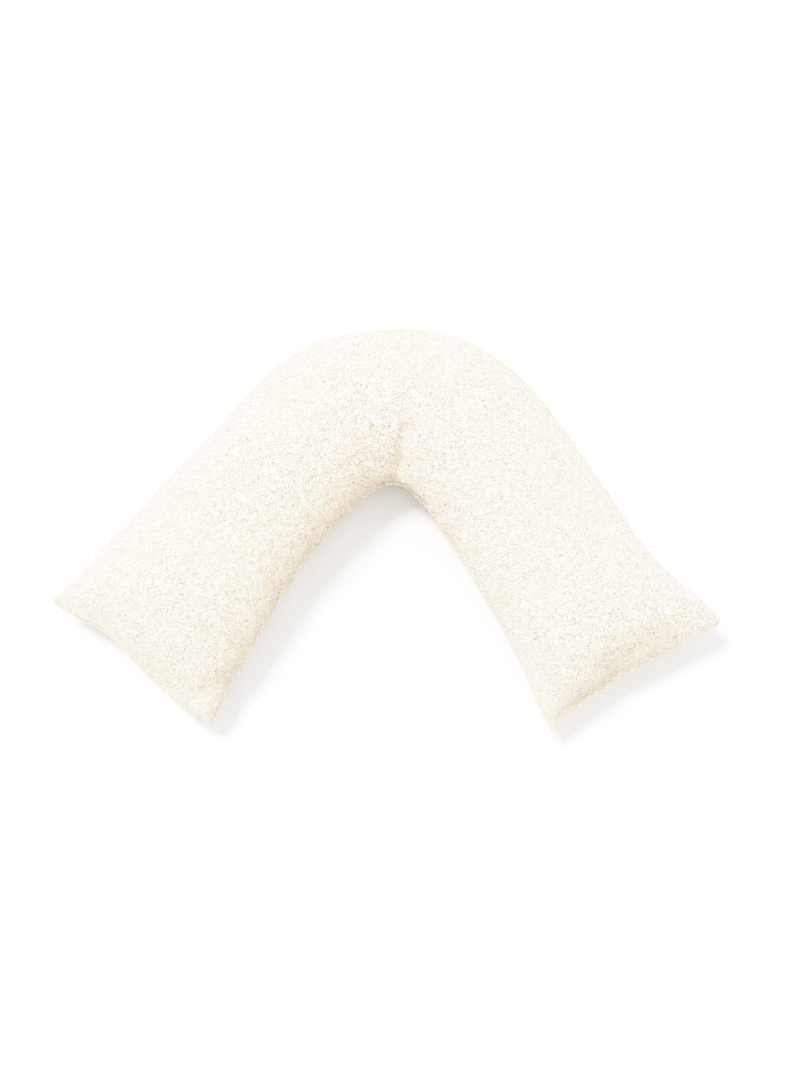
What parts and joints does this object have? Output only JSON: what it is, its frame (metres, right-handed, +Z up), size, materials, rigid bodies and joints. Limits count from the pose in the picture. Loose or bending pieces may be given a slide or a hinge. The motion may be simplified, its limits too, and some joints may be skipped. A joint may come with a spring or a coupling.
{
  "type": "v shaped pillow",
  "caption": "V-shaped bed pillow in cream teddy fleece: filled arms that meet in a rounded bend, with drawn-in seams and soft ears at the corners.",
  "frame": {"origin": "middle of the pillow's box, on the plane that its underside lies on", "axes": "+Z up, out of the upper panel; +X from the left arm's end to the right arm's end; +Y from the open side of the V towards the bend"},
  "size_m": [1.0856, 0.6552, 0.156],
  "materials": {
    "teddy_fleece": "curly cream polyester teddy fleece, matt"
  },
  "bodies": {
    "root": {"pillow": "teddy_fleece"}
  },
  "joints": []
}
